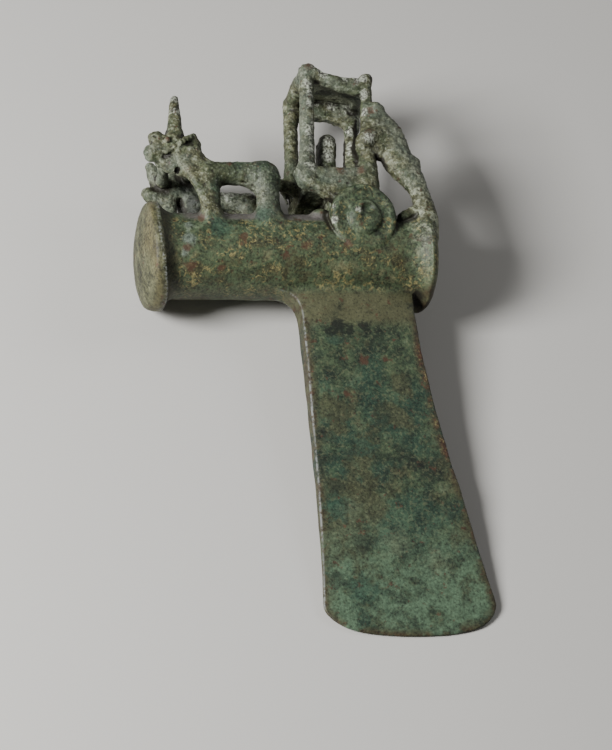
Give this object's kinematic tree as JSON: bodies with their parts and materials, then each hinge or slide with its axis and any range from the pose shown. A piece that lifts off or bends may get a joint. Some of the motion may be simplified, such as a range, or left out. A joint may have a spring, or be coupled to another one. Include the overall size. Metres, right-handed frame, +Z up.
{
  "type": "bronze axe head",
  "caption": "Ancient cast bronze axe head: flared tubular socket, tapering blade with a curved edge, and a worn bull chariot group on the socket's back.",
  "frame": {"origin": "on the surface it lies on, below the middle of its bounding box", "axes": "+X along the socket towards its open mouth, +Y from the cutting edge to the chariot group, +Z up from the surface it lies on"},
  "size_m": [0.1018, 0.2036, 0.0408],
  "materials": {
    "bronze_patina": "matte green and brown patina with pale encrusted high places"
  },
  "bodies": {
    "root": {"axe_head": "bronze_patina"}
  },
  "joints": []
}
